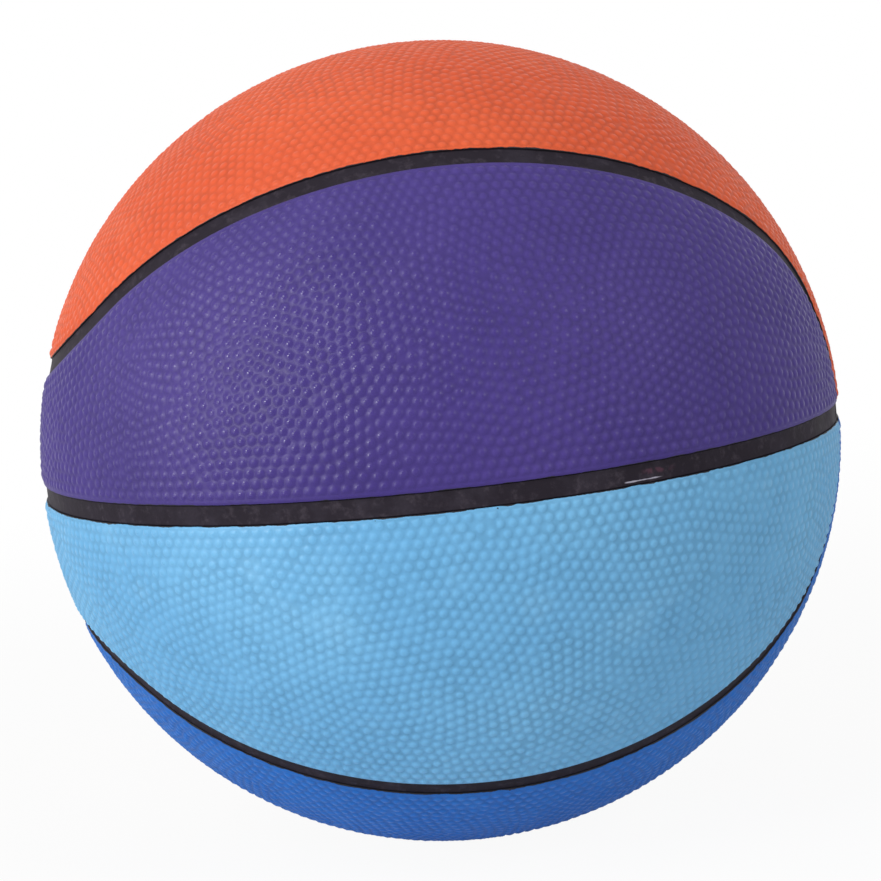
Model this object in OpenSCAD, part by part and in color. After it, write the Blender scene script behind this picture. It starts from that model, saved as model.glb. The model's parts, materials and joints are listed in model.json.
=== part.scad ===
// Basketball, size 7: an air bladder, a thread winding and a rubber carcass under eight
// coloured cover panels, with black rib strips in the channels between the panels.
//
// Origin: the ball's centre. +Z up, -Y towards the front, millimetres.
// The channels follow two crossed great circles, the middle one in the plane z = 0 and the
// crown one in the plane y = 0, and one closed curved seam. The seam runs on the diagonal
// great circles y = z and y = -z, and turns round a small circle at each of its four lobes.
// The seam cuts each of the four quarters between the great circles into two equal panels.

/* [Ball] */
// Diameter over the cover panels
ball_d = 243; // [232:1:250]
// Thickness of the cover panels
cover_t = 1.6; // [1.5:0.1:2.4]
// Thickness of the rubber carcass under the cover
carcass_t = 0.6; // [0.5:0.1:1.2]
// Thickness of the wound thread layer under the carcass
winding_t = 0.3; // [0.3:0.1:0.6]
// Wall of the air bladder
bladder_t = 0.6; // [0.5:0.1:1.2]

/* [Channels] */
// Width of a channel between two panels, which is the width of the rib strip in it
channel_w = 5.6; // [4.4:0.1:6.4]
// Thickness of the rib strips on the channel's floor
rib_t = 0.4; // [0.3:0.1:0.6]
// Width of the rounded margin along each panel edge
rim_w = 1.6; // [0.8:0.1:2.4]
// Drop of the rounded margin at the panel's edge
rim_h = 0.8; // [0.4:0.1:0.9]
// Half width of the curved seam's waist, as an angle at the ball's centre, in degrees
waist_angle = 17.4; // [15:0.2:22]

/* [Valve] */
// Rise of the valve above the middle channel, at the ball's back, in degrees
valve_rise_angle = 15; // [10:0.5:22]
// Diameter of the port through the cover, which is the valve body's neck
port_d = 9; // [8:0.1:11]
// Depth of the valve's face below the cover
valve_recess = 0.5; // [0.3:0.1:1]
// Diameter of the flange that bonds the valve body to the bladder
flange_d = 26; // [18:0.5:34]
// Thickness of that flange
flange_t = 1.4; // [1:0.1:2.5]
// Length of the valve body's neck, from its face to its inner end
neck_l = 17; // [15:0.5:22]
// Thickness of the lip that closes the neck's inner end around the needle's way
lip_t = 1.5; // [1:0.1:2.5]
// Diameter of the needle's way through the lip
lip_hole_d = 3; // [2.4:0.1:3.6]
// Diameter of the plug that sits in the neck
plug_d = 5.5; // [4.8:0.1:6.5]
// Diameter of the needle's bore in the plug
needle_d = 2; // [1.6:0.1:2.4]
// Depth of the needle's bore below the plug's face, down to the closed sealing tip
needle_l = 12; // [8:0.5:12.5]
// Diameter of the funnel at the bore's mouth
funnel_d = 3.4; // [2.8:0.1:4]
// Depth of that funnel
funnel_h = 0.7; // [0.4:0.1:1.2]

/* [Hidden] */
$fn = 144;
// Steps of the rounded margins, and the drop that the margins beside the two great circles have
// beyond the others. Both differ from the curved seam's, so that where two margins cross no
// four faces meet in one point.
circle_steps = 4;
curve_steps = 3;
circle_extra_h = 0.06;
// Share of its length by which a margin's last step runs on past the ball's surface
past_share = 0.25;
// Sides of the valve's small round parts
valve_fn = 48;

// Radii of the layers, each one resting on the one inside it
ball_r = ball_d / 2;
carcass_r = ball_r - cover_t;
winding_r = carcass_r - carcass_t;
bladder_r = winding_r - winding_t;
inner_r = bladder_r - bladder_t;
// Reach of the cutting tools, well past the ball, and their starting radius, well inside it
reach = 3 * ball_r;
start_r = ball_r / 2;

half_w = channel_w / 2;
// The diagonals stand halfway between the two great circles, which cross at right angles
diagonal = 45;
square_angle = 90;
half_turn = 180;
// A turn's circle touches both diagonals: its centre lies lobe_angle from the pole, and its
// radius is turn_angle. The seam leaves the diagonal tangent_angle from the pole.
lobe_angle = atan2(sin(waist_angle), cos(waist_angle) - cos(diagonal));
turn_angle = lobe_angle - waist_angle;
tangent_angle = atan(tan(lobe_angle) * cos(diagonal));
turn_tilt = square_angle - turn_angle;

// Colours
purple = "#4b3d7d";
sky = "#6ab0dc";
orange = "#e0603c";
blue = "#2c63b0";
rib_black = "#29252b";
gum = "#3a3a3c";
thread = "#d8d2c0";
butyl = "#1f1f21";

// A channel's section is drawn in its own plane: x runs outwards from the ball's centre through
// the middle of the channel, and y runs across it. These sections have the panel below them.
function outwards(radius, across) = sqrt(radius * radius - across * across);
function margin_point(wall, drop, a) =
    let (across = wall + rim_w * (1 - cos(a)), radius = ball_r - drop * (1 - sin(a)))
        [outwards(radius, across), -across];

// The panel's edge: the wall, the rounded margin and a line away from the ball
function panel_edge(wall, drop, steps) =
    let (
        top = margin_point(wall, drop, square_angle),
        step = top - margin_point(wall, drop, square_angle * (1 - 1 / steps)),
        past = top + past_share * step
    )
        concat(
            [[start_r, -wall]],
            [for (i = [0 : steps - 1]) margin_point(wall, drop, square_angle * i / steps)],
            [past, [reach, past[1]]]
        );

// The panel's own side of that edge
module panel_side() {
    polygon(concat(
        panel_edge(half_w, rim_h, curve_steps), [[reach, -ball_r], [start_r, -ball_r]]
    ));
}
// The same, but only as far as a line close to the right turn's axis
module panel_side_in_turn() {
    polygon(concat(
        panel_edge(half_w, rim_h, curve_steps),
        [for (x = [reach, start_r]) [x, half_w / 2 - x * tan(turn_angle)]]
    ));
}
// The free side of the great circles' edges, as far as the axis x = 0
module free_side() {
    polygon(concat(
        [[0, -half_w]], panel_edge(half_w, rim_h + circle_extra_h, circle_steps),
        [[reach, reach], [0, reach]]
    ));
}
// What the margin round the valve's port leaves free, as far as the axis y = 0
module port_side() {
    polygon(concat(
        [[start_r, 0]], panel_edge(port_d / 2, rim_h, curve_steps), [[reach, 0]]
    ));
}
// The strip's section, and what lies above a line at a height
module strip_side() { translate([start_r, -half_w]) square([reach - start_r, channel_w]); }
module above(height) { translate([start_r, height]) square([reach - start_r, ball_r]); }

module shell(outer_r, shell_inner_r) {
    difference() {
        sphere(outer_r);
        sphere(shell_inner_r);
    }
}

// Axes, each turning +Z to the direction that its name gives
module about_below() { rotate([half_turn, 0, 0]) children(); }
module about_back() { rotate([-square_angle, 0, 0]) children(); }
module about_diagonal() { rotate([-diagonal, 0, 0]) children(); }
module about_valve() { rotate([valve_rise_angle - square_angle, 0, 0]) children(); }

// Half spaces
module front_half() { translate([-reach, -2 * reach, -reach]) cube(2 * reach); }
module back_half() { translate([-reach, 0, -reach]) cube(2 * reach); }
module upper_half() { translate([-reach, -reach, 0]) cube(2 * reach); }

// The quarter has three zones: the seam's left turn, its diagonal stretch and its right turn.
// A border turns +X to the point where the seam leaves the diagonal, and +Z to the diagonal's
// axis. Its plane y = 0 parts the two zones, and holds the turn's axis too.
module left_border() { about_diagonal() rotate([0, 0, half_turn + tangent_angle]) children(); }
module right_border() { about_diagonal() rotate([0, 0, -tangent_angle]) children(); }
module left_zone() { left_border() front_half(); }
module middle_zone() {
    intersection() {
        left_border() back_half();
        right_border() front_half();
    }
}
module right_zone() { right_border() back_half(); }

// The seam's sections turned into solids, each about its own zone's axis and starting outside
// that zone. A turn's axis tilts away from the diagonal's, and its section tilts back by as
// much, so it stays where it is in the border's plane. The diagonal's section tilts there and
// back, which gives all three solids the same rounding: they meet exactly at the borders.
module left_turn() {
    left_border() rotate([0, turn_tilt, 0]) rotate([0, 0, square_angle]) rotate_extrude()
        rotate(turn_tilt) children();
}
module diagonal_stretch() {
    left_border() rotate([0, 0, -square_angle]) rotate_extrude()
        rotate(turn_tilt) rotate(-turn_tilt) children();
}
module right_turn() {
    right_border() rotate([0, -turn_tilt, 0]) rotate([0, 0, -square_angle]) rotate_extrude()
        rotate(-turn_tilt) children();
}

// What a panel leaves free below the middle channel and behind the crown channel
module middle_side() { about_below() rotate_extrude() free_side(); }
module crown_side() { about_back() rotate_extrude() free_side(); }

// The upper front quarter's panel beside the middle channel, which reaches the left pole
module waist_panel() {
    difference() {
        intersection() {
            shell(ball_r, carcass_r);
            middle_zone();
            diagonal_stretch() panel_side();
        }
        middle_side();
    }
    difference() {
        intersection() {
            shell(ball_r, carcass_r);
            left_zone();
            left_turn() panel_side();
        }
        middle_side();
        crown_side();
    }
    difference() {
        intersection() {
            shell(ball_r, carcass_r);
            right_zone();
            right_turn() panel_side_in_turn();
        }
        middle_side();
    }
}

// Half a turn about the middle of the quarter's diagonal, which swaps its two panels
module swapped() { rotate(a = half_turn, v = [0, -1, 1]) children(); }
// Places for the other quarters
module lower() { mirror([0, 0, 1]) children(); }
module back() { mirror([0, 1, 0]) children(); }

// The curved seam's strip in the upper front quarter, from the crown to the middle channel
module curve_strip() {
    intersection() {
        shell(carcass_r + rib_t, carcass_r);
        middle_zone();
        diagonal_stretch() strip_side();
    }
    intersection() {
        shell(carcass_r + rib_t, carcass_r);
        left_zone();
        front_half();
        left_turn() strip_side();
    }
    intersection() {
        shell(carcass_r + rib_t, carcass_r);
        right_zone();
        upper_half();
        right_turn() strip_side();
    }
}

// The middle channel's ring of strip, before it is cut into pieces
module middle_ring() {
    intersection() {
        shell(carcass_r + rib_t, carcass_r);
        rotate_extrude() strip_side();
    }
}

// The front half of that ring, from the crown strip at the left to the curved seam at the
// right. The seam's side ends it past the plane through the turn's axis.
module long_strip() {
    difference() {
        intersection() {
            middle_ring();
            front_half();
        }
        about_back() rotate_extrude() strip_side();
        intersection() {
            rotate([0, 0, -lobe_angle]) back_half();
            right_turn() above(-half_w);
        }
    }
}

// The piece of that ring through the right pole, between the two sides of the curved seam
module short_strip() {
    intersection() {
        middle_ring();
        right_turn() above(half_w);
        back() right_turn() above(half_w);
    }
}

// A round form on the valve's axis, from a distance from the ball's centre outwards
module round_at(from_r, length, d) {
    about_valve() translate([0, 0, from_r]) cylinder(h = length, d = d, $fn = valve_fn);
}
// The layers' hole for the valve's neck
module port() { round_at(0, reach, port_d); }

module bladder() {
    color(butyl) difference() {
        shell(bladder_r, inner_r);
        port();
    }
}

module winding() {
    color(thread) difference() {
        shell(winding_r, bladder_r);
        port();
    }
}

module carcass() {
    color(gum) difference() {
        shell(carcass_r, winding_r);
        port();
    }
}

module panel_front_upper() { color(purple) waist_panel(); }
module panel_front_lower() { color(sky) lower() waist_panel(); }
module panel_back_upper() {
    color(blue) difference() {
        back() waist_panel();
        port();
        about_valve() rotate_extrude() rotate(square_angle) port_side();
    }
}
module panel_back_lower() { color(orange) back() lower() waist_panel(); }
module panel_top_front() { color(orange) swapped() waist_panel(); }
module panel_top_back() { color(sky) back() swapped() waist_panel(); }
module panel_bottom_front() { color(blue) lower() swapped() waist_panel(); }
module panel_bottom_back() { color(purple) back() lower() swapped() waist_panel(); }

module rib_middle_front() { color(rib_black) long_strip(); }
module rib_middle_back() { color(rib_black) back() long_strip(); }
module rib_middle_right() { color(rib_black) short_strip(); }
module rib_crown_top() { color(rib_black) swapped() long_strip(); }
module rib_crown_bottom() { color(rib_black) lower() swapped() long_strip(); }
module rib_crown_left() { color(rib_black) swapped() short_strip(); }
module rib_curve_front_upper() { color(rib_black) curve_strip(); }
module rib_curve_front_lower() { color(rib_black) lower() curve_strip(); }
module rib_curve_back_upper() { color(rib_black) back() curve_strip(); }
module rib_curve_back_lower() { color(rib_black) back() lower() curve_strip(); }

// The valve's face and the neck's inner end, as distances from the ball's centre
face_r = ball_r - valve_recess;
neck_end_r = face_r - neck_l;

// The neck through the layers, with a flange bonded inside the bladder and a lip at its end
module valve_body() {
    color(butyl) difference() {
        union() {
            round_at(neck_end_r, neck_l, port_d);
            intersection() {
                shell(inner_r, inner_r - flange_t);
                round_at(0, reach, flange_d);
            }
        }
        round_at(neck_end_r + lip_t, neck_l, plug_d);
        round_at(neck_end_r - lip_t, neck_l, lip_hole_d);
    }
}

// The plug, which stands on the lip and closes round the needle
module valve_plug() {
    color(rib_black) difference() {
        round_at(neck_end_r + lip_t, neck_l - lip_t, plug_d);
        round_at(face_r - needle_l, 2 * needle_l, needle_d);
        about_valve() translate([0, 0, face_r - funnel_h])
            cylinder(h = funnel_h, d1 = needle_d, d2 = funnel_d, $fn = valve_fn);
    }
}

bladder();
winding();
carcass();
panel_front_upper();
panel_front_lower();
panel_back_upper();
panel_back_lower();
panel_top_front();
panel_top_back();
panel_bottom_front();
panel_bottom_back();
rib_middle_front();
rib_middle_back();
rib_middle_right();
rib_crown_top();
rib_crown_bottom();
rib_crown_left();
rib_curve_front_upper();
rib_curve_front_lower();
rib_curve_back_upper();
rib_curve_back_lower();
valve_body();
valve_plug();
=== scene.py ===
# %% [markdown]
# # A moulded rubber basketball
# The CAD part holds every layer of this ball at its true size. This notebook builds what the eye
# sees on top of it: eight pebbled rubber panels in four colours, the black ribs in the channels
# between them, and a small studio to show them in.
#
# A ball could be one sphere with its relief drawn by a material. The real cover is made of
# separate pieces, and its pebbles stand up and catch the light even at the ball's outline, so
# here every panel and every rib is a mesh of its own. Lengths are worked out in millimetres round
# the ball's centre, and become metres when a mesh is made.

import json
import math
from types import SimpleNamespace

import bpy
import numpy as np
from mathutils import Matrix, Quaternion, Vector
from mathutils.geometry import delaunay_2d_cdt

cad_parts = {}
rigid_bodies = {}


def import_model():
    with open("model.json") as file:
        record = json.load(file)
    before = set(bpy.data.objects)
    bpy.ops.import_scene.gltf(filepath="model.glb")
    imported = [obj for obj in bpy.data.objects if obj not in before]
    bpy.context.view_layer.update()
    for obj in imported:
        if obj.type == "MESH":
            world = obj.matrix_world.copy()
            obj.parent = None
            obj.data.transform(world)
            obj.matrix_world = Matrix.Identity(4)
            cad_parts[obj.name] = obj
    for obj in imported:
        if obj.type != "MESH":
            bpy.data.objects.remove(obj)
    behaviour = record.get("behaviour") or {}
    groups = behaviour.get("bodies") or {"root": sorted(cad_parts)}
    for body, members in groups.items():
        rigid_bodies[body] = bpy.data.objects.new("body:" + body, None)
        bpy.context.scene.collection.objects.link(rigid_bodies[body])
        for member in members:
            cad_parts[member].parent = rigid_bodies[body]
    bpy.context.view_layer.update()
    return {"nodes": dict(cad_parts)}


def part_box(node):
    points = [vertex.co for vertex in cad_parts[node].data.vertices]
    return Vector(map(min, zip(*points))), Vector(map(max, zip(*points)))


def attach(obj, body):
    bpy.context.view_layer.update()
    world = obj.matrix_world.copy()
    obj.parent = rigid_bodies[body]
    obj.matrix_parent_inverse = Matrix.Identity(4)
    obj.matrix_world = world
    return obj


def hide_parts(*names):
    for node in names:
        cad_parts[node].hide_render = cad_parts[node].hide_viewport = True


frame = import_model()
print("CAD nodes:", len(frame["nodes"]))

# %% [markdown]
# ## Sizes
# The carcass is the rubber layer that the cover is moulded on. The ball's radius could be typed
# in here a second time. It is read from the carcass's own box, so that the two can't differ. The
# cover adds 1.6 mm, and the channels between its panels are 5.6 mm wide.

# %% Sizes
MM = 0.001
CARCASS_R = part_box("carcass")[1].z / MM
COVER = 1.6
BALL_R = CARCASS_R + COVER
HALF_W = 2.8
print("Ball radius %.2f mm, channels %.1f mm wide" % (BALL_R, 2 * HALF_W))

# %% [markdown]
# ## The channels' middle lines
# The channels of the real ball follow two great circles that cross at right angles, the middle
# and the crown, and one closed seam that winds between them as on a tennis ball. The seam could
# be traced point by point. It is made of circles instead, because a circle on a ball is only an
# axis and an angle from it, and a line that runs beside it is the same circle with another angle.
#
# The part of the ball above the middle channel and in front of the crown channel is one
# quarter of it. There the seam leaves the crown channel in a small circle, follows the diagonal
# between the two great circles, and meets the middle channel in another small circle. The waist
# is the angle between each meeting point and the nearer crossing of the great circles.

# %% The channels' middle lines
WAIST = math.radians(17.4)
TILT = math.radians(45)
LOBE = math.atan2(math.sin(WAIST), math.cos(WAIST) - math.cos(TILT))
TURN = LOBE - WAIST
TANGENT = math.atan(math.tan(LOBE) * math.cos(TILT))

UP = np.array([0.0, 0.0, 1.0])
FRONT = np.array([0.0, -1.0, 0.0])
DIAGONAL = np.array([0.0, 1.0, 1.0]) / math.sqrt(2)
LEFT_CENTRE = np.array([-math.cos(LOBE), 0.0, math.sin(LOBE)])
RIGHT_CENTRE = np.array([math.cos(LOBE), -math.sin(LOBE), 0.0])
SLOPE = math.sin(TANGENT) / math.sqrt(2)
LEFT_TANGENT = np.array([-math.cos(TANGENT), -SLOPE, SLOPE])
RIGHT_TANGENT = np.array([math.cos(TANGENT), -SLOPE, SLOPE])
print("The seam turns round circles of %.1f mm" % (TURN * BALL_R))

# %% [markdown]
# ## Crossings and arcs
# Where two of the ball's channels meet, their edges meet in exact points. Blender could find
# them by cutting meshes, but the crossing of two circles has a short formula: it lies on both
# planes and on the ball. Two points do, and the one nearer to a given direction is taken. The
# points between two crossings are spread evenly along the circle.


# %% Crossings and arcs
def meet(axis_a, angle_a, axis_b, angle_b, near):
    """Where two circles on the unit ball cross, on the side of near."""
    k = axis_a @ axis_b
    a, b = math.cos(angle_a), math.cos(angle_b)
    p, q = (a - k * b) / (1 - k * k), (b - k * a) / (1 - k * k)
    flat = p * axis_a + q * axis_b
    side = np.cross(axis_a, axis_b)
    rest = math.sqrt(max(0.0, 1 - flat @ flat)) * side / np.linalg.norm(side)
    return max(flat + rest, flat - rest, key=lambda v: v @ near)


def along(axis, start, end, shares):
    """Points at shares of the way round a circle about axis, from start to end."""
    level = (start @ axis) * axis
    u = start - level
    v = np.cross(axis, u)
    w = end - (end @ axis) * axis
    turn = math.atan2(w @ v, w @ u)
    a = np.asarray(shares)[:, None] * turn
    return level + np.cos(a) * u + np.sin(a) * v


AT_RIGHT = np.array([1.0, -0.3, 0.0])
seam_end = meet(RIGHT_CENTRE, TURN, UP, math.pi / 2, AT_RIGHT)
print("The seam meets the middle channel", np.round(seam_end * BALL_R, 2), "mm from the centre")

# %% [markdown]
# ## A panel's outline
# A panel is a patch of rubber between the channels, with five sides: the middle channel, the
# right turn of the seam, the diagonal, the left turn and the crown channel. Its edge could be
# found by shrinking a drawn outline, which rounds or crosses the corners. Because every side is a
# circle, the outline at any distance is made of the same five circles with other angles, and the
# corners stay exact.


# %% A panel's outline
def circles(inset):
    """The five sides of the panel, moved in by a distance from the channels' middle lines."""
    a = inset / BALL_R
    return [
        (UP, math.pi / 2 - a),
        (RIGHT_CENTRE, TURN - a),
        (DIAGONAL, math.pi / 2 + a),
        (LEFT_CENTRE, TURN + a),
        (FRONT, math.pi / 2 - a),
    ]


def outline(inset, counts):
    """The panel's outline at a distance from the middle lines, with so many points to a side."""
    middle, right, diagonal, left, crown = circles(inset)
    a = inset / BALL_R
    corners = [
        meet(*crown, *middle, np.array([-1.0, -0.03, 0.03])),
        meet(*middle, *right, AT_RIGHT),
        RIGHT_TANGENT * math.cos(a) - DIAGONAL * math.sin(a),
        LEFT_TANGENT * math.cos(a) - DIAGONAL * math.sin(a),
        meet(*left, *crown, np.array([-1.0, 0.0, 0.3])),
    ]
    corners.append(corners[0])
    sides = zip((middle, right, diagonal, left, crown), counts)
    return np.concatenate(
        [
            along(circle[0], corners[i], corners[i + 1], np.arange(n) / n)
            for i, (circle, n) in enumerate(sides)
        ]
    )


rim = outline(HALF_W, [200] * 5) * BALL_R
print("A panel's rim is %.0f mm long" % np.linalg.norm(rim - np.roll(rim, 1, axis=0), axis=1).sum())


# %% [markdown]
# ## Distances from the channels
# On the real cover everything keeps its distance from the channels: the pebbles stop short of
# them, and the rim rounds down to them. A search for the nearest point of an outline would be
# slow for so many points. The circles give the distance at once, as an angle from an axis, and
# the seam's three parts change over where they touch.


# %% Distances from the channels
def unit(v):
    """The directions of vectors, with a length of 1."""
    return v / np.linalg.norm(v, axis=-1, keepdims=True)


def distances(p):
    """How far points are from the middle, crown and curved channels, with each way inwards."""
    across = (p[:, 1] - p[:, 2]) / math.sqrt(2)
    left = p[:, 0] * math.sin(TANGENT) - across * math.cos(TANGENT) < 0
    right = p[:, 0] * math.sin(TANGENT) + across * math.cos(TANGENT) > 0
    to_left = np.arccos(np.clip(p @ LEFT_CENTRE, -1, 1)) - TURN
    to_right = TURN - np.arccos(np.clip(p @ RIGHT_CENTRE, -1, 1))
    to_diagonal = -np.arcsin(np.clip(p @ DIAGONAL, -1, 1))
    seam = np.where(left, to_left, np.where(right, to_right, to_diagonal))
    inner_way = np.where(right[:, None], RIGHT_CENTRE, -DIAGONAL)
    way = np.where(left[:, None], -LEFT_CENTRE, inner_way)
    return [
        (BALL_R * np.arcsin(p @ UP), np.broadcast_to(UP, p.shape)),
        (BALL_R * np.arcsin(p @ FRONT), np.broadcast_to(FRONT, p.shape)),
        (BALL_R * seam, way),
    ]


def nearest_channel(p):
    """The distance to the nearest of the three channels' middle lines."""
    return np.min([d for d, _ in distances(p)], axis=0)


def from_port(p, port):
    """How far points are from the valve's middle, along the ball."""
    return BALL_R * np.arccos(np.clip(p @ port, -1, 1))


heart = unit(np.array([[0.0, -0.91, 0.41]]))
print("Near a panel's middle the channels are %.0f mm away" % nearest_channel(heart)[0])


# %% [markdown]
# ## Scattered pebbles
# The cover's pebbles come from round pits in the mould, about 3.25 mm apart. They could be set
# in a grid, but a grid doesn't fit round a ball, and the real ones run in rows beside each
# channel and in patches of hexagons further in. A spiral of evenly spread points, turned at
# random and shaken, is a good start, since it has the right number of points everywhere. One
# panel keeps room for the valve's port.

# %% Scattered pebbles
PITCH = 3.25
PEBBLE_R = 0.475 * PITCH
PORT_R = 4.5
GOLDEN_TURN = math.pi * (1 + math.sqrt(5))
SHAKE = 0.55
# How far past their first row the scattered points may lie, in pitches and in millimetres
OVERLAP = 0.35
PORT_OVERLAP = 0.4


def scattered(rng, first_row, port):
    """Directions spread evenly over the panel, up to a little past its first row of pebbles."""
    count = int(4 * math.pi * BALL_R**2 / (PITCH**2 * math.sqrt(3) / 2))
    i = np.arange(count) + 0.5
    z = 1 - 2 * i / count
    a = GOLDEN_TURN * i + rng.uniform(0, 6)
    p = np.stack([np.sqrt(1 - z * z) * np.cos(a), np.sqrt(1 - z * z) * np.sin(a), z], 1)
    q = np.linalg.qr(rng.normal(size=(3, 3)))[0]
    p = p @ q
    inside = nearest_channel(p) > HALF_W + first_row - OVERLAP * PITCH
    if port is not None:
        inside &= from_port(p, port) > PORT_R + first_row - PORT_OVERLAP
    p = p[inside]
    return unit(p + rng.normal(size=p.shape) * SHAKE * PITCH / BALL_R)


print("Scattered points in a panel:", len(scattered(np.random.default_rng(1), 2.5, None)))

# %% [markdown]
# ## Packed pebbles
# Shot in a tray packs itself into rows along the sides and hexagons in the middle. The same is
# done here: each point is pushed away from its nearest neighbours, a fence pushes it in from the
# channels, and after many small steps it stands still. Blender's physics could settle real
# spheres in a bowl, but it would be slower and hard to repeat exactly.

# %% Packed pebbles
STEPS = 170
NEIGHBOURS = 9
# Pebbles nearer than REACH pitches move apart by the share PUSH of what is missing
REACH = 1.06
PUSH = 0.28


def packed(seed, first_row, port=None):
    """Centres of a panel's pebbles, as directions from the ball's centre."""
    p = scattered(np.random.default_rng(seed), first_row, port)
    fence = HALF_W + first_row
    for step in range(STEPS):
        if step % 6 == 0:
            near = np.argpartition(-(p @ p.T), NEIGHBOURS, axis=1)[:, :NEIGHBOURS]
        gap = p[:, None, :] - p[near]
        size = np.linalg.norm(gap, axis=2)
        push = np.clip(REACH * PITCH / BALL_R - size, 0, None) * PUSH
        push[size < 1e-9] = 0
        p = unit(p + (gap / np.maximum(size, 1e-9)[:, :, None] * push[:, :, None]).sum(1))
        for d, way in distances(p):
            short = np.clip(fence - d, 0, None)[:, None] / BALL_R
            p = unit(p + short * way)
        if port is not None:
            short = np.clip(PORT_R + first_row - from_port(p, port), 0, None)[:, None] / BALL_R
            p = unit(p + short * unit(p - port))
    return p


print("Steps of pushing:", STEPS)

# %% [markdown]
# ## The cover's surface
# A panel's floor lies half a millimetre below the tops of its highest pebbles. In the last
# millimetre before a channel it rounds down to the wall, as a moulded rim does. A bevel modifier
# could round it, but with a pebbled mesh it would bite into the pebbles. A quarter circle as a
# function of the distance from the wall never does.

# %% The cover's surface
PEBBLE_H = 0.5
MARGIN_W = 1.1
FLOOR_R = BALL_R - PEBBLE_H - 0.01
RIM_DROP = 0.84
WALL_R = BALL_R - RIM_DROP
UNDER_GAP = 0.05
UNDER_R = CARCASS_R + UNDER_GAP


def edge_distance(p, port):
    """How far points are from the nearest wall of the panel, in millimetres."""
    edge = nearest_channel(p) - HALF_W
    if port is not None:
        edge = np.minimum(edge, from_port(p, port) - PORT_R)
    return edge


def floor_radius(edge):
    """The panel's surface between its pebbles, which rounds down towards the wall."""
    x = np.clip(edge / MARGIN_W, 0, 1)
    return WALL_R + (FLOOR_R - WALL_R) * np.sqrt(1 - (1 - x) ** 2)


print("Floor %.2f mm below the tops, wall %.2f mm" % (BALL_R - FLOOR_R, RIM_DROP))


# %% [markdown]
# ## Rows along the margin
# Between the last pebbles and the channel the real cover has a smooth strip. Its mesh could be
# left to the triangles that fill the panel, but they would make the rounded rim ragged. It gets
# rows of its own, which follow the outline and stand closer together where the rim is steeper.

# %% Rows along the margin
# Millimetres, in the order of circles()
SIDE_LENGTHS = (334, 62, 206, 65, 30)
ROW_SHARES = (1.0, 0.72, 0.45, 0.22, 0.07, 0.0)
CLEARANCE = 0.1
LEAST_MARGIN = 0.4


def ring(axis, radius, count):
    """Points round an axis at a distance along the ball."""
    u = unit(np.cross(axis, [1.0, 0.0, 0.0]))
    v = np.cross(axis, u)
    a = np.arange(count) / count * 2 * math.pi
    r = radius / BALL_R
    return math.cos(r) * axis + math.sin(r) * (np.cos(a)[:, None] * u + np.sin(a)[:, None] * v)


def margin_rows(first_row, port):
    """The rows' distances from the wall, and the rows of each closed loop, inmost first."""
    inner = max(LEAST_MARGIN, first_row - PEBBLE_R - CLEARANCE)
    insets = [share * inner for share in ROW_SHARES]
    counts = [2 * max(3, round(length / PITCH)) for length in SIDE_LENGTHS]
    loops = [[outline(HALF_W + inset, counts) for inset in insets]]
    if port is not None:
        count = 2 * round(2 * math.pi * (PORT_R + inner) / PITCH)
        loops.append([ring(port, PORT_R + inset, count) for inset in insets])
    return insets, loops


print("Points in a margin's row:", len(margin_rows(2.5, None)[1][0][0]))


# %% [markdown]
# ## Triangles between the pebbles
# The relief needs to know which pebbles are neighbours. Blender's own triangulation of points in
# a plane finds them, and it keeps given edges whole, so the outline stays closed. A ball isn't a
# plane, so the panel is first laid flat by a map that keeps small circles round. Triangles
# outside the outline are found by counting how often a ray crosses it.


# %% Triangles between the pebbles
def flat_map(p, centre):
    """Stereographic map of directions, seen from the far side of centre."""
    u = unit(np.cross(centre, [0.3, 0.2, 0.9]))
    v = np.cross(centre, u)
    k = 2 / (1 + p @ centre)
    return np.stack([k * (p @ u), k * (p @ v)], 1)


def crossings_of(loop, points):
    """How often a ray from each point crosses a closed loop: an odd number inside it."""
    a, b = loop, np.roll(loop, -1, axis=0)
    x, y = points[:, :1], points[:, 1:]
    rise = b[:, 1] - a[:, 1]
    at = a[:, 0] + (y - a[:, 1]) * (b[:, 0] - a[:, 0]) / np.where(rise == 0, 1, rise)
    return (((a[:, 1] > y) != (b[:, 1] > y)) & (x < at)).sum(1)


def triangles(centres, loops, middle):
    """Triangles between the centres, all facing outwards and within the loops of numbers."""
    flat = flat_map(centres, middle)
    edges = [(ids[i], ids[(i + 1) % len(ids)]) for ids in loops for i in range(len(ids))]
    found = delaunay_2d_cdt([Vector(v) for v in flat], edges, [], 0, 1e-9, True)
    origin = [ids[0] for ids in found[3]]
    tri = np.array([[origin[i] for i in face] for face in found[2]])
    crossings = sum(crossings_of(flat[ids], flat[tri].mean(1)) for ids in loops)
    tri = tri[crossings % 2 == 1]
    a, b, c = (centres[tri[:, i]] for i in range(3))
    flip = (np.cross(b - a, c - a) * a).sum(1) < 0
    tri[flip] = tri[flip][:, ::-1]
    return tri


corners = np.array([[0.1, -1, 0.3], [-0.1, -1, 0.3], [0.1, -1, 0.5], [-0.1, -1, 0.5]])
square = triangles(unit(corners), [[0, 1, 3, 2]], FRONT)
print("A square of four pebbles gives", len(square), "triangles")

# %% [markdown]
# ## The net of a panel
# Everything that is known about a panel's pebbles is kept together as its net: the centres, with
# every other point of the inmost rows as posts of a fence, the triangles, and the pairs of
# neighbours. A pebble could have the same size everywhere. On the real ball they vary a little,
# and one that is short of room is smaller and lower, so each takes the room that its nearest
# neighbour leaves.

# %% The net of a panel
# Shares of the way to a neighbour that a dome may take, towards a pebble and towards a post
SHARED_ROOM = 0.485
LONE_ROOM = 0.94
SIZE_VARIES = 0.1
HEIGHT_VARIES = 0.22
# Domes smaller than this share of the full radius are lower too
LOWER_BELOW = 0.8


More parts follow.
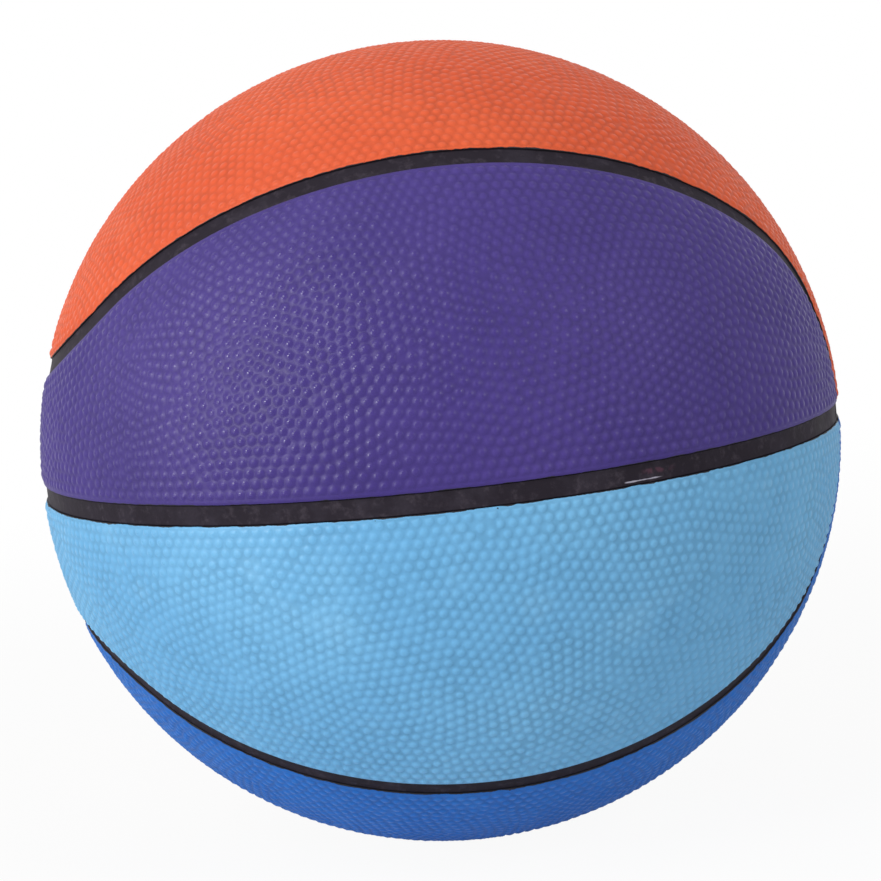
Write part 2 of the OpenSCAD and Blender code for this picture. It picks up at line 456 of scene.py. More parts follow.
def make_net(rng, pebbles, loops):
    """Centres, triangles, neighbours and the size and height of each dome."""
    centres, ids = pebbles, []
    for rows in loops:
        posts = rows[0][::2]
        ids.append(list(range(len(centres), len(centres) + len(posts))))
        centres = np.concatenate([centres, posts])
    tri = triangles(centres, ids, unit(pebbles.mean(0)))
    sides = np.sort(np.concatenate([tri[:, [0, 1]], tri[:, [1, 2]], tri[:, [2, 0]]]), axis=1)
    pairs, index = np.unique(sides, axis=0, return_inverse=True)
    net = SimpleNamespace(centres=centres, ids=ids, tri=tri, pairs=pairs)
    net.sides = index.reshape(3, -1).T
    net.is_pebble = np.arange(len(centres)) < len(pebbles)
    net.length = np.linalg.norm(centres[pairs[:, 0]] - centres[pairs[:, 1]], axis=1) * BALL_R
    room = np.where(net.is_pebble[pairs].all(1), SHARED_ROOM, LONE_ROOM) * net.length
    size = np.where(net.is_pebble, PEBBLE_R * (1 - SIZE_VARIES * rng.random(len(centres))), 0)
    for side in (0, 1):
        np.minimum.at(size, pairs[:, side], room)
    size[~net.is_pebble] = 0
    net.size = size
    height = PEBBLE_H * (1 - HEIGHT_VARIES * rng.random(len(centres)))
    height = np.where(net.is_pebble, height, 0)
    net.height = height * np.minimum(1, size / (LOWER_BELOW * PEBBLE_R))
    return net


print("Neighbours share %.1f %% of the way between them" % (200 * SHARED_ROOM))


# %% [markdown]
# ## Points on the cover
# Each point carries two values besides its place: how far it is from the wall, and how high it
# lies on its pebble. A material could guess both from the point's position. Stored in the mesh,
# they let the paint follow the channels and the shine follow the pebbles without a search.


# %% Points on the cover
class Surface:
    """Points of a panel, each with its distance from the wall and its height on its dome."""

    def __init__(self, port):
        self.port = port
        self.points, self.edge, self.dome = [], [], []
        self.total = 0

    def place(self, directions, radius, away, lift=0.0):
        """Points at a radius, and the number of the first of them."""
        first = self.total
        count = len(directions)
        self.points.append(directions * np.broadcast_to(radius, count)[:, None])
        self.edge.append(np.broadcast_to(away, count))
        self.dome.append(np.full(count, lift))
        self.total += count
        return first

    def add(self, directions, lift, height=0.0):
        """Points on the panel's floor, raised by a share of their pebble's height."""
        away = edge_distance(directions, self.port)
        return self.place(directions, floor_radius(away) + height * lift, away, lift)


trial = Surface(None)
trial.add(heart, 1.0, PEBBLE_H)
print("A pebble's top lies at %.2f mm" % np.linalg.norm(trial.points[0]))

# %% [markdown]
# ## Domes
# A pebble is a shallow round dome. Copies of a small dome mesh could be laid on the floor, but
# they would cut into it and leave hidden faces. Here each triangle's corner gets its own share
# of the dome: two rings of points, on the edges to the neighbours and on the way to the
# triangle's middle, its hub. The domes stay round wherever the neighbours are, and the surface
# is one skin. A slight lean of each top keeps the glints from being all alike.

# %% Domes
# Each ring's share of the dome's radius, and the share of its height that is left there
RINGS = ((0.58, 0.7), (1.0, 0.0))
HUB_ROOM = 0.93
LEAN = 0.09


def towards(start, end, distance):
    """Points at a distance from start on the way to end."""
    way = end - start
    way -= (way * start).sum(1, keepdims=True) * start
    return unit(start + unit(way) * (distance / BALL_R)[:, None])


def dome_points(rng, net, surface):
    """The domes' tops, the middles between neighbours, the hubs and two rings round each top."""
    centres, size = net.centres, net.size
    lean = rng.normal(size=centres.shape).clip(-2, 2) * LEAN * net.is_pebble[:, None] / BALL_R
    surface.add(unit(centres + lean), 1.0, net.height)
    one, two = net.pairs[:, 0], net.pairs[:, 1]
    between = (net.length + size[one] - size[two]) / 2
    net.middle = surface.add(towards(centres[one], centres[two], between), 0.0)
    hub = unit(centres[net.tri].mean(1))
    net.hub = surface.add(hub, 0.0)
    net.rings = []
    for share, lift in RINGS:
        on_edge, on_face = [], []
        for me, you in ((one, two), (two, one)):
            point = towards(centres[me], centres[you], size[me] * share)
            on_edge.append(surface.add(point, lift, net.height[me]))
        for me in net.tri.T:
            to_hub = BALL_R * np.linalg.norm(hub - centres[me], axis=1)
            reach = np.minimum(size[me], HUB_ROOM * to_hub) * share
            on_face.append(surface.add(towards(centres[me], hub, reach), lift, net.height[me]))
        net.rings.append((on_edge, on_face))


print("Rings of a dome:", len(RINGS))


# %% [markdown]
# ## Faces of the domes and the floor
# The points now need faces. Blender could be asked for a hull or another triangulation, but
# then nobody knows which face lies where. In each corner of a triangle the pattern is always the
# same: two faces at the dome's top, two further down it and two on the floor out to the hub. A
# post of the fence has no dome, so its corner is a single face.


# %% Faces of the domes and the floor
def dome_faces(net):
    """Faces in every corner of every triangle, as lists of point numbers."""
    faces = []
    rows = np.arange(len(net.tri))
    inner, outer = net.rings
    for k in range(3):
        me, e_next, e_last = net.tri[:, k], net.sides[:, k], net.sides[:, (k + 2) % 3]
        side_next = (net.pairs[e_next, 0] != me).astype(int)
        side_last = (net.pairs[e_last, 0] != me).astype(int)
        hub, m1, m2 = net.hub + rows, net.middle + e_next, net.middle + e_last
        i1 = np.choose(side_next, inner[0]) + e_next
        i2 = np.choose(side_last, inner[0]) + e_last
        o1 = np.choose(side_next, outer[0]) + e_next
        o2 = np.choose(side_last, outer[0]) + e_last
        it, ot = inner[1][k] + rows, outer[1][k] + rows
        on = net.is_pebble[me]
        for part in ((me, i1, it), (me, it, i2)):
            faces += np.stack(part, 1)[on].tolist()
        for part in ((i1, o1, ot, it), (it, ot, o2, i2), (o1, m1, hub, ot), (ot, hub, m2, o2)):
            faces += np.stack(part, 1)[on].tolist()
        faces += np.stack((me, m1, hub, m2), 1)[~on].tolist()
    return faces


print("Faces in a corner with a dome: 6, with a post: 1")


# %% [markdown]
# ## Margins, walls and the underside
# A moulded panel is a solid sheet, so its mesh has to close. A solidify modifier could thicken
# it, but would copy the pebbles to the underside. The real underside is smooth against the
# carcass, so the margin's rows lead down the wall to a second, plain set of the same triangles.


# %% Margins, walls and the underside
def quads_between(last, new, outwards):
    """A closed band of faces between two rows of point numbers."""
    n = len(last)
    quads = [[last[i], new[i], new[(i + 1) % n], last[(i + 1) % n]] for i in range(n)]
    return quads if outwards else [quad[::-1] for quad in quads]


def close_panel(net, surface, insets, loops):
    """Faces of the margins, walls and underside."""
    faces = []
    middles = {tuple(pair): net.middle + i for i, pair in enumerate(net.pairs.tolist())}
    under = surface.place(net.centres, UNDER_R, edge_distance(net.centres, surface.port))
    for number, (ids, rows) in enumerate(zip(net.ids, loops)):
        n, last = len(ids), []
        for i in range(n):
            last += [ids[i], middles[tuple(sorted((ids[i], ids[(i + 1) % n])))]]
        steps = [(inset, floor_radius(inset)) for inset in insets[1:]] + [(-1.0, UNDER_R)]
        for (inset, radius), directions in zip(steps, rows[1:] + rows[-1:]):
            first = surface.place(directions, radius, inset)
            new = list(range(first, first + 2 * n))
            faces += quads_between(last, new, number == 0)
            last = new
        for i in range(n):
            j = (i + 1) % n
            face = [new[2 * i], new[2 * i + 1], new[2 * j], under + ids[j], under + ids[i]]
            faces.append(face[::-1] if number == 0 else face)
    return faces + (under + net.tri[:, ::-1]).tolist()


print("Rows from the pebbles to the underside:", len(ROW_SHARES) + 1)

# %% [markdown]
# ## Three panels
# Eight panels could be laid out one by one, but packing the pebbles is the slow part. Two
# layouts serve the seven whole panels of this ball, used in such a way that no two neighbours
# are alike. A third one leaves room for the valve's port.

# %% Three panels
BACK = np.diag([1.0, -1, 1])
VALVE = np.array([0.0, math.cos(math.radians(15)), math.sin(math.radians(15))])


def panel_data(seed, first_row, port=None):
    """Points, faces and values of the front upper quarter's panel beside the middle channel."""
    rng = np.random.default_rng(seed + 50)
    insets, loops = margin_rows(first_row, port)
    net = make_net(rng, packed(seed, first_row, port), loops)
    surface = Surface(port)
    dome_points(rng, net, surface)
    faces = dome_faces(net) + close_panel(net, surface, insets, loops)
    used = sorted({i for face in faces for i in face})
    place = {old: new for new, old in enumerate(used)}
    faces = [[place[i] for i in face] for face in faces]
    values = {"edge": np.concatenate(surface.edge)[used], "dome": np.concatenate(surface.dome)[used]}
    print("Pebbles:", int(net.is_pebble.sum()), "faces:", len(faces))
    return np.concatenate(surface.points)[used], faces, values


whole = [panel_data(seed=3, first_row=2.5), panel_data(seed=8, first_row=1.8)]
with_port = panel_data(seed=5, first_row=2.2, port=VALVE @ BACK)


# %% [markdown]
# ## From numbers to an object
# Blender keeps a shape in a mesh and its place in an object. The object could be mirrored by a
# negative scale, but other programs read such an object inside out. Here the points themselves
# are turned or mirrored, and when they are mirrored each face is listed the other way round.


# %% From numbers to an object
def make_object(name, points, faces, values, turn, flipped):
    """A smooth object from points in millimetres, turned to its place, with values on it."""
    if flipped:
        faces = [face[::-1] for face in faces]
    mesh = bpy.data.meshes.new(name)
    mesh.from_pydata(((points @ turn.T) * MM).tolist(), [], faces)
    for key, data in values.items():
        attribute = mesh.attributes.new(key, "FLOAT", "POINT")
        attribute.data.foreach_set("value", np.asarray(data, np.float32))
    mesh.polygons.foreach_set("use_smooth", np.ones(len(mesh.polygons), bool))
    mesh.update()
    obj = bpy.data.objects.new(name, mesh)
    bpy.context.scene.collection.objects.link(obj)
    return obj


def stands_for(obj, node, slot):
    """The object rides on the ball's one body and takes the place of a CAD node."""
    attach(obj, "root")
    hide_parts(node)


print("Shapes to place:", len(whole) + 1, "panels")

# %% [markdown]
# ## Eight panels
# The real ball's panels are one shape in eight places. Modelling one quarter and turning it is
# less work than eight panels and can't let them differ. Half a turn about the middle of the
# diagonal swaps a quarter's two panels, and mirrors carry them to the other quarters. Each
# colour is used twice, and never on both sides of a channel.

# %% Eight panels
LOWER = np.diag([1.0, 1, -1])
SWAP = np.array([[-1.0, 0, 0], [0, 0, -1], [0, -1, 0]])
QUARTERS = {
    "front_upper": np.eye(3),
    "front_lower": LOWER,
    "back_upper": BACK,
    "back_lower": BACK @ LOWER,
}
places = {
    "panel_front_upper": ("purple", QUARTERS["front_upper"], whole[0]),
    "panel_front_lower": ("light_blue", QUARTERS["front_lower"], whole[1]),
    "panel_back_upper": ("blue", QUARTERS["back_upper"], with_port),
    "panel_back_lower": ("orange", QUARTERS["back_lower"], whole[0]),
    "panel_top_front": ("orange", SWAP, whole[1]),
    "panel_top_back": ("light_blue", BACK @ SWAP, whole[0]),
    "panel_bottom_front": ("blue", LOWER @ SWAP, whole[0]),
    "panel_bottom_back": ("purple", BACK @ LOWER @ SWAP, whole[1]),
}
panels = []
for node, (hue, turn, (points, faces, values)) in places.items():
    mirrored = np.linalg.det(turn) < 0
    obj = make_object("cover_" + node.removeprefix("panel_"), points, faces, values, turn, mirrored)
    stands_for(obj, node, hue + "_rubber")
    panels.append((obj, hue))
    print(obj.name, len(obj.data.vertices), "points", len(obj.data.polygons), "faces")

# %% [markdown]
# ## The shape of a rib
# The floor of each channel carries a black strip of rubber with a shallow hollow along its
# middle. A curve with a bevel would do for a straight one, but the strips end in slanting cuts
# against each other. So a strip is lofted: eleven long lines side by side, each one ending
# exactly where it runs into the next strip.

# %% The shape of a rib
LINES = 11
RIB_H = 0.3
RIB_DISH = 0.14
RIB_GAP = 0.02


def rib_shape(line):
    """Points, faces and values of a strip, and whether they face the wrong way round.

    line(u) gives the strip's long line at an offset u from its middle.
    """
    offsets = np.linspace(-HALF_W, HALF_W, LINES)
    rows = [line(u) for u in offsets]
    radii = [CARCASS_R + RIB_H + RIB_DISH * (u / HALF_W) ** 4 for u in offsets]
    rows = [rows[0]] + rows + [rows[-1]]
    radii = [CARCASS_R + RIB_GAP] + radii + [CARCASS_R + RIB_GAP]
    n, m = len(rows[0]), len(rows)
    points = np.concatenate([row * radius for row, radius in zip(rows, radii)])
    faces = []
    for j in range(m):
        k = (j + 1) % m
        faces += [[j * n + i, j * n + i + 1, k * n + i + 1, k * n + i] for i in range(n - 1)]
    faces.append([j * n for j in range(m)])
    faces.append([j * n + n - 1 for j in range(m)][::-1])
    corner, beside, across = points[5 * n], points[5 * n + 1], points[6 * n]
    wrong = np.cross(beside - corner, across - corner) @ corner > 0
    away = HALF_W - np.abs(np.concatenate([offsets[:1], offsets, offsets[-1:]]))
    return points, faces, {"edge": np.repeat(away, n)}, bool(wrong)


print("A rib's middle lies %.2f mm above the carcass" % RIB_H)


# %% [markdown]
# ## The ribs' long lines
# Ten strips fill the channels of the real ball: four along the seam, and on each great circle
# two long ones and a short one between the seam's turns. Their lines could be cut from whole
# rings. Running each line from one crossing to the next gives the same cuts without a cutter.

# %% The ribs' long lines
TURN_POINTS = 55
DIAGONAL_POINTS = 170
LONG_POINTS = 280
SHORT_POINTS = 57


def seam_line(u):
    """A line along the seam in the front upper quarter, from crown to middle channel."""
    a = u / BALL_R
    start = meet(LEFT_CENTRE, TURN + a, FRONT, math.pi / 2, np.array([-1.0, 0, 0.3]))
    left = LEFT_TANGENT * math.cos(a) - DIAGONAL * math.sin(a)
    right = RIGHT_TANGENT * math.cos(a) - DIAGONAL * math.sin(a)
    end = meet(RIGHT_CENTRE, TURN - a, UP, math.pi / 2, AT_RIGHT)
    parts = [
        along(LEFT_CENTRE, start, left, np.arange(TURN_POINTS) / TURN_POINTS),
        along(DIAGONAL, left, right, np.arange(DIAGONAL_POINTS) / DIAGONAL_POINTS),
        along(RIGHT_CENTRE, right, end, np.arange(TURN_POINTS + 1) / TURN_POINTS),
    ]
    return np.concatenate(parts)


def long_line(u):
    """A line along the middle channel, from the crown channel to the seam's turn."""
    a, h = u / BALL_R, HALF_W / BALL_R
    start = meet(UP, math.pi / 2 - a, FRONT, math.pi / 2 - h, np.array([-1.0, 0, 0]))
    end = meet(UP, math.pi / 2 - a, RIGHT_CENTRE, TURN - h, AT_RIGHT)
    return along(UP, start, end, np.arange(LONG_POINTS + 1) / LONG_POINTS)


def short_line(u):
    """A line along the middle channel at the right, between the seam's two turns."""
    a, h = u / BALL_R, HALF_W / BALL_R
    start = meet(UP, math.pi / 2 - a, RIGHT_CENTRE, TURN + h, AT_RIGHT)
    return along(UP, start, start * [1, -1, 1], np.arange(SHORT_POINTS + 1) / SHORT_POINTS)


for line in (seam_line, long_line, short_line):
    row = line(0.0) * BALL_R
    print(line.__name__, "%.0f mm" % np.linalg.norm(np.diff(row, axis=0), axis=1).sum())

# %% [markdown]
# ## Ten ribs
# The strips of the crown channel are those of the middle channel, turned. As with the panels,
# turning a finished shape is surer than working out each one, and the ends meet by themselves.

# %% Ten ribs
ribs = []


def lay(line, turns):
    """One strip in each of its places on the ball."""
    points, faces, values, wrong = rib_shape(line)
    for place, turn in turns.items():
        flipped = (np.linalg.det(turn) < 0) == wrong
        obj = make_object("strip_" + place, points, faces, values, turn, flipped)
        stands_for(obj, "rib_" + place, "rib_rubber")
        ribs.append(obj)


lay(seam_line, {"curve_" + quarter: turn for quarter, turn in QUARTERS.items()})
lay(long_line, {"middle_front": np.eye(3), "middle_back": BACK})
lay(long_line, {"crown_top": SWAP, "crown_bottom": LOWER @ SWAP})
lay(short_line, {"middle_right": np.eye(3)})
lay(short_line, {"crown_left": SWAP})
print("Strips:", len(ribs))


# %% [markdown]
# ## Shader arithmetic
# A finish is mostly small sums: a mask times a strength, one minus a mask. Nodes could be placed
# and wired one by one, which takes pages. `Value` wraps a node's output so that it adds and
# multiplies like a number, and every node comes from the one method `Tree.add`.


# %% Shader arithmetic
class Value:
    """A node's output that can be used in sums like a number."""

    def __init__(self, tree, socket):
        self.tree, self.socket = tree, socket

    def math(self, operation, *others):
        return self.tree.add("Math", {"operation": operation}, dict(enumerate((self, *others))))

    def __add__(self, other):
        return self.math("ADD", other)

    def __mul__(self, other):
        return self.math("MULTIPLY", other)

    def __sub__(self, other):
        return self.math("SUBTRACT", other)

    def __rsub__(self, other):
        return self.tree.add("Math", {"operation": "SUBTRACT"}, {0: other, 1: self})

    __radd__ = __add__
    __rmul__ = __mul__

    def ramp(self, low, high):
        """0 below low, 1 above high, and smooth between them."""
        smooth = {"interpolation_type": "SMOOTHSTEP"}
        return self.tree.add("MapRange", smooth, {0: self, 1: low, 2: high})


class Tree:
    """A node tree, of a material or of the world."""

    def __init__(self, owner, output="OutputMaterial"):
        self.owner = owner
        owner.use_nodes = True
        self.tree = owner.node_tree
        self.tree.nodes.clear()
        self.output = self.tree.nodes.new("ShaderNode" + output)

    def add(self, kind, settings=None, values=None, out=0):
        """A node of a kind, its settings first and then its sockets' values or links."""
        node = self.tree.nodes.new("ShaderNode" + kind)
        for key, value in (settings or {}).items():
            setattr(node, key, value)
        for key, value in (values or {}).items():
            if isinstance(value, Value):
                self.tree.links.new(value.socket, node.inputs[key])
            else:
                node.inputs[key].default_value = value
        return Value(self, node.outputs[out])

    def surface(self, shader):
        self.tree.links.new(shader.socket, self.output.inputs["Surface"])
        return self.owner


print("Operators: + - * and ramp")

# %% [markdown]
# ## A rubber finish in words
# Rubber is never one flat colour. The variations could come from pictures, but noise worked out
# from a point's position has no seams and any sharpness. These helpers name the few nodes that
# all the finishes share, and turn colours as the screen shows them, from 0 to 255, into the
# linear values that a shader needs.

# %% A rubber finish in words
OBJECT_COORDINATES = 3


class Finish(Tree):
    """A material for rubber, with the nodes that its masks are made of."""

    def point(self):
        return self.add("TexCoord", out=OBJECT_COORDINATES)

    def attribute(self, name):
        """A value that the mesh carries at each point."""
        return self.add("Attribute", {"attribute_name": name}, out=2)

    def noise(self, scale, detail=3.0, roughness=0.5):
        values = {"Vector": self.point(), "Scale": scale, "Detail": detail, "Roughness": roughness}
        return self.add("TexNoise", values=values)

    def mix(self, share, a, b):
        """Colour a where share is 0, and colour b where it is 1."""
        return self.add("Mix", {"data_type": "RGBA"}, {0: share, 6: a, 7: b}, out=2)

    def done(self, values, height, strength, depth):
        """The material, with a bump of a depth in metres."""
        bump = {"Height": height, "Strength": strength, "Distance": depth}
        values["Normal"] = self.add("Bump", values=bump)
        return self.surface(self.add("BsdfPrincipled", values=values))


def colour(*shown):
    """A linear colour from red, green and blue as shown, by the screen's own curve."""
    linear = [((x / 255 + 0.055) / 1.055) ** 2.4 if x > 10 else x / 3295 for x in shown]
    return (*linear, 1.0)


print("Middle grey is", round(colour(128, 128, 128)[0], 3), "in linear light")

# %% [markdown]
# ## Panel rubber
# The coloured rubber of the real ball is a little uneven. The pigment varies softly, the floor
# between the pebbles is darkened by dirt and by painted shade, and their tops are rubbed smoother
# and shine more. At the left of the front the whole skin is glossier, as if hands had held it
# there. The black of the channels was painted by hand, so its line wanders, and here and there a
# fleck lies past it.
#
# The paint could be a second mesh over the margin. As a mask on the stored distance from the
# wall it lies exactly on the skin and can be as ragged as the real line.

# %% Panel rubber
HANDLED = (-0.055, -0.104, 0.03)
HANDLED_REACH = (0.03, 0.08)
# The line's wander is 0.75 mm on average, so the paint ends about 0.1 mm from the wall
PAINT_EDGE = -0.68


def skin_colour(t, base, pale, dark, gap):
    """Pigment, worn spots, and dirt with painted shade between the pebbles, without the paint."""
    cloud = t.noise(18.0, detail=4.0)
    skin = t.mix(cloud.ramp(0.3, 0.72), dark, base)
    worn = t.noise(60.0).ramp(0.55, 0.8) * 0.16
    skin = t.mix(worn, skin, pale)
    patches = t.noise(150.0).ramp(0.3, 0.7)
    # Dirt and painted shade: the floor between the pebbles is darkened towards the gap colour
    dirt_and_painted_shade = (1 - t.attribute("dome").ramp(0.0, 0.75)) * (0.08 + 0.24 * patches)
    return t.mix(dirt_and_painted_shade, skin, gap)


def painted(t):
    """1 where the channel's black paint lies on the panel."""
    wander = t.noise(120.0) * 0.9 + t.noise(500.0) * 0.6
    edge = t.attribute("edge")
    line = 1 - (edge - wander).ramp(PAINT_EDGE, PAINT_EDGE + 0.1)
    flecks = t.noise(700.0, detail=1.0).ramp(0.77, 0.79) * (1 - edge.ramp(0.5, 1.6))
    return (line + flecks).math("MINIMUM", 1.0)


def skin_roughness(t):
    """Dull rubber, glossier where it is handled and on the rubbed tops of the pebbles."""
    away = t.add("VectorMath", {"operation": "DISTANCE"}, {0: t.point(), 1: HANDLED}, out=1)
    handled = 1 - away.ramp(*HANDLED_REACH)
    rubbed = t.attribute("dome").ramp(0.4, 0.95) * t.noise(260.0, detail=1.0).ramp(0.3, 0.6)
    return 0.56 - 0.16 * handled - 0.05 * t.noise(45.0) - 0.22 * rubbed


def panel_rubber(name, base, pale, dark, gap):
    t = Finish(bpy.data.materials.new(name))
    skin = skin_colour(t, colour(*base), colour(*pale), colour(*dark), colour(*gap))
    skin = t.mix(painted(t), skin, colour(38, 36, 42))
    values = {"Base Color": skin, "Roughness": skin_roughness(t), "Specular IOR Level": 0.29}
    grain = t.noise(900.0, detail=2.0)
    return t.done(values, grain, strength=0.12, depth=0.0004)


print("The glossier patch lies %.0f mm from the ball's centre" % (Vector(HANDLED).length / MM))

# %% [markdown]
# ## Four colours
# The ball has four pigments. One material with a colour stored on each panel would do, but the
# part names four rubbers in its slots, so each colour is a material of its own. It is given by
# its main tone, a paler worn tone, a darker one for the clouds and one for the dirt and painted
# shade between the pebbles.

# %% Four colours
# Each gap colour is dirt together with painted shade between the pebbles
rubber = {
    "purple": panel_rubber(
        "purple rubber", base=(74, 57, 136), pale=(97, 81, 155), dark=(64, 48, 126), gap=(44, 30, 88)
    ),
    "light_blue": panel_rubber(
        "light blue rubber",
        base=(124, 192, 236),
        pale=(163, 217, 248),
        dark=(113, 182, 229),
        gap=(74, 126, 160),
    ),
    "orange": panel_rubber(
        "orange rubber", base=(236, 101, 58), pale=(246, 133, 89), dark=(228, 92, 51), gap=(160, 60, 29)
    ),
    "blue": panel_rubber(
        "blue rubber", base=(41, 121, 212), pale=(72, 150, 231), dark=(33, 111, 201), gap=(22, 69, 134)
    ),
}
for obj, hue in panels:
    obj.data.materials.append(rubber[hue])
print("Panels with a finish:", len(panels))

# %% [markdown]
# ## Rib rubber
# The ribs are a bluish black with hardly any sheen, a film of dust and fine pale streaks. On the
# front of the middle rib, right of its centre, two marks can be seen: a thin pale line near its
# lower side, and a faint reddish smear above it. They could be small pieces of their own, but
# they have no thickness, so they are masks laid out in millimetres along the rib. Its sides are
# darker, a painted shade of the channel walls.

# %% Rib rubber
# Where a thin pale line lies near the middle rib's lower side, in millimetres along the rib
PALE_LINE_START = (36.6, 37.6)
PALE_LINE_END = (45.5, 48.0)
PALE_LINE_Z = -1.7
SMEAR_START = (41.0, 44.0)
SMEAR_END = (47.0, 52.0)
SMEAR_Z = 0.2


def stretch(value, start, end):
    """1 between two soft ends, each given as where it begins and where it is complete."""
    return value.ramp(*start) * (1 - value.ramp(*end))


def marks(t, base):
    """The rib's colour with the smear and a thin pale line on it."""
    x, y, z = (t.add("SeparateXYZ", values={0: t.point()}, out=k) * (1 / MM) for k in range(3))
    front = 1 - y.ramp(-1.0, 0.0)
    ragged = t.noise(400.0, detail=2.0)
    off_smear = (z - SMEAR_Z).math("ABSOLUTE").ramp(0.3, 1.0)
    smear = stretch(x, SMEAR_START, SMEAR_END) * (1 - off_smear)
    base = t.mix(smear * front * ragged.ramp(0.4, 0.6) * 0.5, base, colour(104, 66, 82))
    # A thin pale line near the rib's lower side
    off_line = ((z - PALE_LINE_Z).math("ABSOLUTE") + 0.5 * ragged).ramp(0.3, 0.46)
    pale_line = stretch(x, PALE_LINE_START, PALE_LINE_END) * (1 - off_line)
    return t.mix(pale_line * front, base, colour(176, 172, 188))


def rib_rubber():
    t = Finish(bpy.data.materials.new("rib rubber"))
    dust = t.noise(90.0, detail=5.0, roughness=0.65).ramp(0.42, 0.75)
    streak = t.noise(300.0, roughness=0.7).ramp(0.5, 0.75)
    base = t.mix(dust * 0.6, colour(43, 38, 46), colour(66, 61, 71))
    base = t.mix(streak * 0.35, base, colour(92, 84, 94))
    base = marks(t, base)
    # Painted shade: the rib darkens towards its sides, as the channel walls would shade it
    base = t.mix(1 - t.attribute("edge").ramp(0.0, 0.35), base, colour(12, 11, 15))
    values = {"Base Color": base, "Roughness": 0.52 + 0.2 * dust, "Specular IOR Level": 0.05}
    return t.done(values, t.noise(700.0), strength=0.25, depth=0.0003)


rib_material = rib_rubber()
for obj in ribs:
    obj.data.materials.append(rib_material)
print("Ribs with a finish:", len(ribs))

# %% [markdown]
# ## Inner layers and valve
# Under the cover lie a carcass of matt gum, a winding of nylon thread and a smooth butyl
# bladder with its valve. They hardly show, and one grey would be enough for the picture. Each
# has its own finish all the same, because the part can be opened and reused. The thread's
# crossing turns are three sets of fine waves, of which the highest one wins.


# %% Inner layers and valve
def plain_rubber(name, base, worn, scale, rough):
    """Rubber with a soft change between two tones and a fine grain."""
    t = Finish(bpy.data.materials.new(name))
    cloud = t.noise(scale, detail=4.0, roughness=0.6)
    skin = t.mix(cloud.ramp(0.35, 0.7), colour(*base), colour(*worn))
    values = {"Base Color": skin, "Roughness": rough + 0.15 * cloud}
    return t.done(values, t.noise(scale * 9), strength=0.2, depth=0.0003)


def winding_thread():
    t = Finish(bpy.data.materials.new("winding thread"))
    waves = {"Vector": t.point(), "Scale": 420.0, "Distortion": 1.5, "Detail": 2.0}
    x, y, slant = (
        t.add("TexWave", {"bands_direction": way}, waves, out=1) for way in ("X", "Y", "DIAGONAL")
    )
    ply = x.math("MAXIMUM", y).math("MAXIMUM", slant)
    base = t.mix(ply.ramp(0.3, 0.9), colour(150, 142, 120), colour(222, 214, 194))
    return t.done({"Base Color": base, "Roughness": 0.75}, ply, strength=0.5, depth=0.0002)


inner = {
    "carcass": plain_rubber("carcass rubber", (46, 45, 47), (66, 64, 66), scale=70.0, rough=0.6),
    "winding": winding_thread(),
    "bladder": plain_rubber("bladder rubber", (30, 30, 32), (44, 43, 46), scale=50.0, rough=0.42),
    "valve_body": plain_rubber("valve rubber", (34, 33, 36), (56, 55, 60), scale=220.0, rough=0.45),
    "valve_plug": plain_rubber("plug rubber", (52, 50, 54), (76, 74, 80), scale=260.0, rough=0.5),
}
print("Inner finishes:", len(inner))


# %% [markdown]
# ## Finishes on the CAD nodes
# The CAD nodes that a panel or a rib stands for are kept in the file, so they need a finish as
# well. They could be left grey. With the finish of the piece that stands for them, the plain
# solids look like the ball too.


# %% Finishes on the CAD nodes
def finish_of(name):
    """The material of a CAD node, by its name."""
    if name in places:
        return rubber[places[name][0]]
    return rib_material if name.startswith("rib") else inner[name]


for name, node in frame["nodes"].items():
    node.data.materials.clear()
    node.data.materials.append(finish_of(name))
print("CAD nodes with a finish:", len(frame["nodes"]))

# %% [markdown]
# ## The floor
# The ball stands before plain white, like a thing on a roll of studio paper. A white floor would
# need so much light to look white that the ball would be washed out. So the floor is a pale
# matt surface that takes the ball's shadow, mixed with a white glow that only the camera and
# reflections see. Close to the ball the glow is a little weaker, and a soft shadow shows.

# %% The floor
WHITE = (1.0, 1.0, 1.0, 1.0)
PAPER = ((0.86, 0.86, 0.86, 1.0), (0.9, 0.9, 0.9, 1.0))
SHADOW_REACH = (0.2, 0.9)
# The share of the glow that is left beside the ball, for the camera and for reflections
GLOW_BESIDE = 0.94
SHINE_BESIDE = 0.2
GLOSSY_RAYS = ("Is Glossy Ray", "Is Transmission Ray")


def seeing_rays(tree):
    """1 for rays from the camera, and 1 for rays off a gloss or through a glass."""
    camera = tree.add("LightPath", out="Is Camera Ray")
    gloss, glass = (tree.add("LightPath", out=kind) for kind in GLOSSY_RAYS)
    return camera, gloss.math("MAXIMUM", glass)


def white_floor():
    t = Finish(bpy.data.materials.new("floor"))
    matt = {"Base Color": t.mix(t.noise(3.0), *PAPER), "Roughness": 1.0, "Specular IOR Level": 0.0}
    paper = t.add("BsdfPrincipled", values=matt)
    glow = t.add("Emission", values={"Color": WHITE, "Strength": 1.0})
    camera, shine = seeing_rays(t)
    away = t.add("VectorMath", {"operation": "LENGTH"}, {0: t.point()}, out=1).ramp(*SHADOW_REACH)
    seen = GLOW_BESIDE + (1 - GLOW_BESIDE) * away
    mirrored = SHINE_BESIDE + (1 - SHINE_BESIDE) * away
    share = camera * seen + shine * mirrored
    return t.surface(t.add("MixShader", values={0: share, 1: paper, 2: glow}))


LEFT, RIGHT, NEAR, FAR = -6, 6, -4, 12
low = -BALL_R * MM
mesh = bpy.data.meshes.new("floor")
corners = [(LEFT, NEAR, low), (RIGHT, NEAR, low), (RIGHT, FAR, low), (LEFT, FAR, low)]
mesh.from_pydata(corners, [], [[0, 1, 2, 3]])
mesh.materials.append(white_floor())
floor = bpy.data.objects.new("floor", mesh)
bpy.context.scene.collection.objects.link(floor)
print("Floor %d by %d m" % (RIGHT - LEFT, FAR - NEAR))

